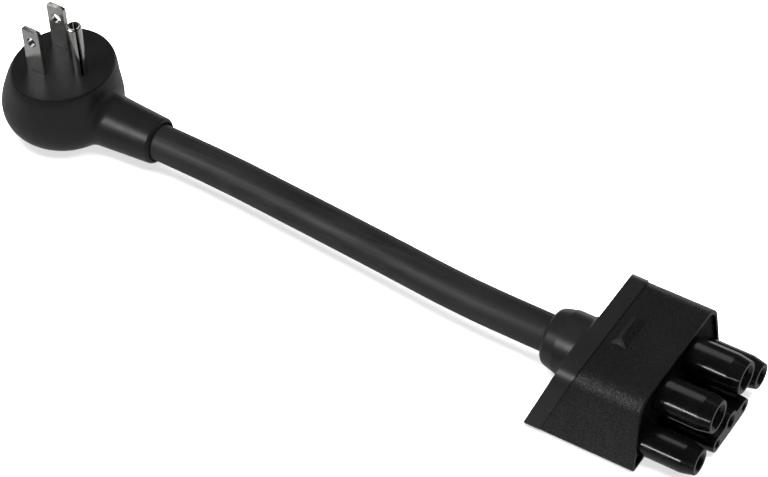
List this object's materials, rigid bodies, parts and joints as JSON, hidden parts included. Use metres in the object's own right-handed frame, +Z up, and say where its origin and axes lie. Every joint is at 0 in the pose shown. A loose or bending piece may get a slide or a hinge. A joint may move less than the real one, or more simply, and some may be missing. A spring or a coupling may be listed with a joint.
{
  "type": "power adapter cable",
  "caption": "Short adapter lead: right-angle household plug with flat blades and a round earth prong, a stiff round cable, and a keyed head of round socket barrels.",
  "frame": {"origin": "middle of the socket head's flat underside, on the surface the adapter lies on", "axes": "+X from the plug along the cable to the open sockets, +Z up, the way the plug's prongs stand"},
  "size_m": [0.2603, 0.0543, 0.0452],
  "materials": {
    "textured_shell": "fine spark-eroded grain",
    "satin_shell": "satin",
    "gloss_barrel": "gloss",
    "plug_moulding": "satin",
    "face_moulding": "satin",
    "cable_sheath": "satin",
    "nickel": "bright nickel",
    "contact_metal": "silver plated",
    "crimp_metal": "tinned",
    "line_sleeving": "satin",
    "neutral_sleeving": "satin",
    "ground_sleeving": "satin",
    "sense_sleeving": "satin",
    "inner_block": "satin",
    "board": "gloss",
    "component": "satin"
  },
  "bodies": {
    "root": {"connector_shroud": "textured_shell", "rear_cap": "satin_shell", "contact_carrier": "gloss_barrel", "line_sleeve": "gloss_barrel", "neutral_sleeve": "gloss_barrel", "ground_sleeve": "gloss_barrel", "spare_sleeve": "gloss_barrel", "signal_block": "gloss_barrel", "line_contact": "contact_metal", "neutral_contact": "contact_metal", "ground_contact": "contact_metal", "spare_contact": "contact_metal", "signal_left_contact": "contact_metal", "signal_middle_contact": "contact_metal", "signal_right_contact": "contact_metal", "signal_left_lead": "crimp_metal", "signal_middle_lead": "crimp_metal", "signal_right_lead": "crimp_metal", "id_board": "board", "id_resistor": "component", "cable_ferrule": "crimp_metal", "cable_jacket": "cable_sheath", "line_wire": "line_sleeving", "neutral_wire": "neutral_sleeving", "ground_wire": "ground_sleeving", "sense_wire": "sense_sleeving", "line_blade": "nickel", "neutral_blade": "nickel", "ground_pin": "nickel", "line_crimp": "crimp_metal", "neutral_crimp": "crimp_metal", "ground_crimp": "crimp_metal", "temperature_bead": "component", "plug_face": "face_moulding", "prong_holder": "inner_block", "plug_housing": "plug_moulding"}
  },
  "joints": []
}
